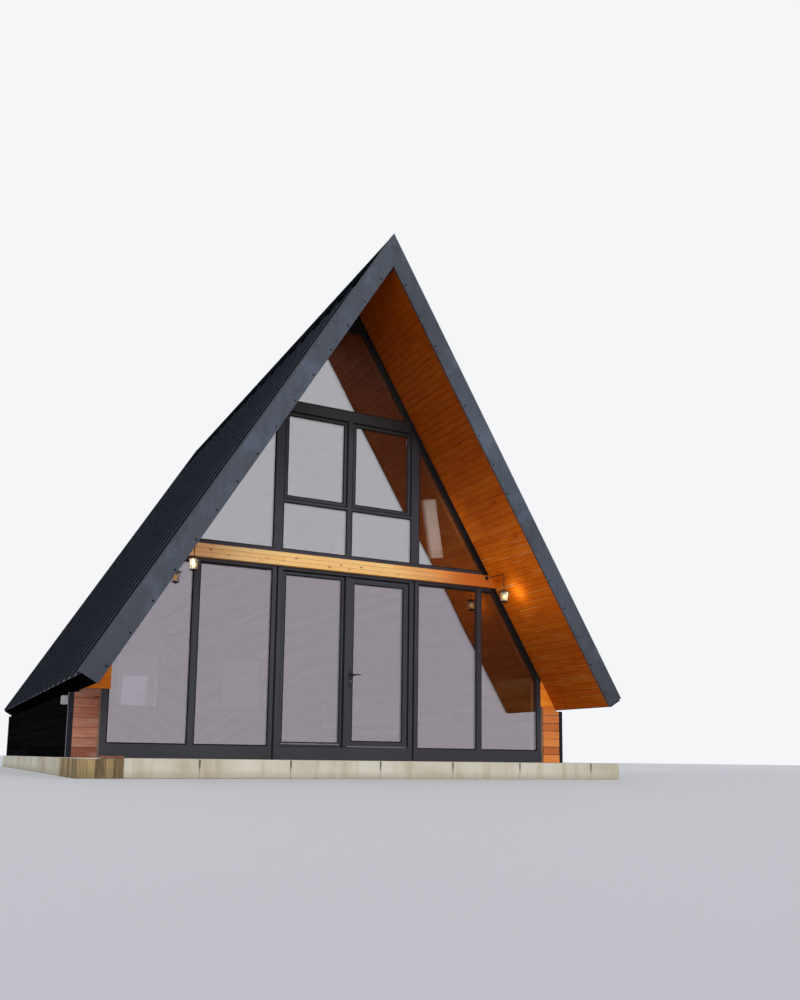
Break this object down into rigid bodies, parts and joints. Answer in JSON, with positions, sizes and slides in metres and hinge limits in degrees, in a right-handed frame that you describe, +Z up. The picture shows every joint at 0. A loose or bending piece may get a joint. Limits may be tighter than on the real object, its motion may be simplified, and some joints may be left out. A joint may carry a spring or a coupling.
{
  "type": "a-frame cabin",
  "caption": "A-frame cabin with steep standing-seam roof slopes down to low side walls, a fully glazed timber-framed gable under a deep overhang and a pair of glazed doors.",
  "frame": {"origin": "on the ground, below the middle of the roof, half way between front and back barge boards", "axes": "+Z up, the glazed front faces -Y, +X to the right as seen from the front"},
  "size_m": [7.4848, 10.37, 7.3081],
  "materials": {
    "concrete": "rough cast concrete with board marks",
    "floor_boards": "satin boards",
    "wall_core": "rough timber core",
    "dark_boards": "dark stained boards",
    "weathered_planks": "reddish weathered planks",
    "orange_wood": "orange oiled softwood",
    "black_trim": "black folded sheet",
    "roof_core": "insulated timber panel",
    "roof_metal": "matt coated standing-seam sheet",
    "barge_metal": "matt anthracite coated sheet",
    "soffit_boards": "orange-brown oiled tongue-and-groove boards",
    "lining_boards": "yellow-brown spruce boards",
    "glued_beam": "glue-laminated spruce, clear oil",
    "frame_anthracite": "anthracite foiled profiles",
    "clear_glass": "clear insulated glass",
    "handle_metal": "dark satin handle set",
    "lantern_metal": "black powder-coated metal",
    "lantern_glass": "clear glass in front of a lit bulb",
    "grey_plastic": "light grey housing",
    "white_plastic": "off-white housing"
  },
  "bodies": {
    "house": {"base_slab": "concrete", "ground_floor": "floor_boards", "loft_floor": "floor_boards", "left_knee_wall": "wall_core", "right_knee_wall": "wall_core", "side_cladding": "dark_boards", "pillar_planks": "weathered_planks", "plate_ends": "orange_wood", "corner_trims": "black_trim", "left_roof_panel": "roof_core", "right_roof_panel": "roof_core", "left_roof_sheets": "roof_metal", "right_roof_sheets": "roof_metal", "ridge_cap": "roof_metal", "left_barges": "barge_metal", "right_barges": "barge_metal", "eave_fascias": "roof_metal", "left_soffit": "soffit_boards", "right_soffit": "soffit_boards", "left_roof_lining": "lining_boards", "right_roof_lining": "lining_boards", "wall_linings": "lining_boards", "tie_beam": "glued_beam", "ground_posts": "frame_anthracite", "ground_rails": "frame_anthracite", "left_slope_frame": "frame_anthracite", "right_slope_frame": "frame_anthracite", "loft_posts": "frame_anthracite", "loft_rails": "frame_anthracite", "loft_sashes": "frame_anthracite", "ground_glass": "clear_glass", "loft_glass": "clear_glass", "lantern_frames": "lantern_metal", "lantern_glass": "lantern_glass", "back_wall": "weathered_planks", "back_window_frames": "frame_anthracite", "back_glass": "clear_glass", "junction_box": "grey_plastic", "indoor_unit": "white_plastic"},
    "left_door": {"left_door_leaf": "frame_anthracite", "left_door_glass": "clear_glass"},
    "right_door": {"right_door_leaf": "frame_anthracite", "right_door_glass": "clear_glass", "door_handle": "handle_metal"}
  },
  "joints": [
    {"name": "left_door_hinge", "type": "hinge", "parent": "house", "child": "left_door", "pos_m": [-0.9725, -3.773, 1.2], "axis": [0, 0, 1], "range_deg": [0, 90]},
    {"name": "right_door_hinge", "type": "hinge", "parent": "house", "child": "right_door", "pos_m": [0.9725, -3.773, 1.2], "axis": [0, 0, -1], "range_deg": [0, 90]}
  ]
}
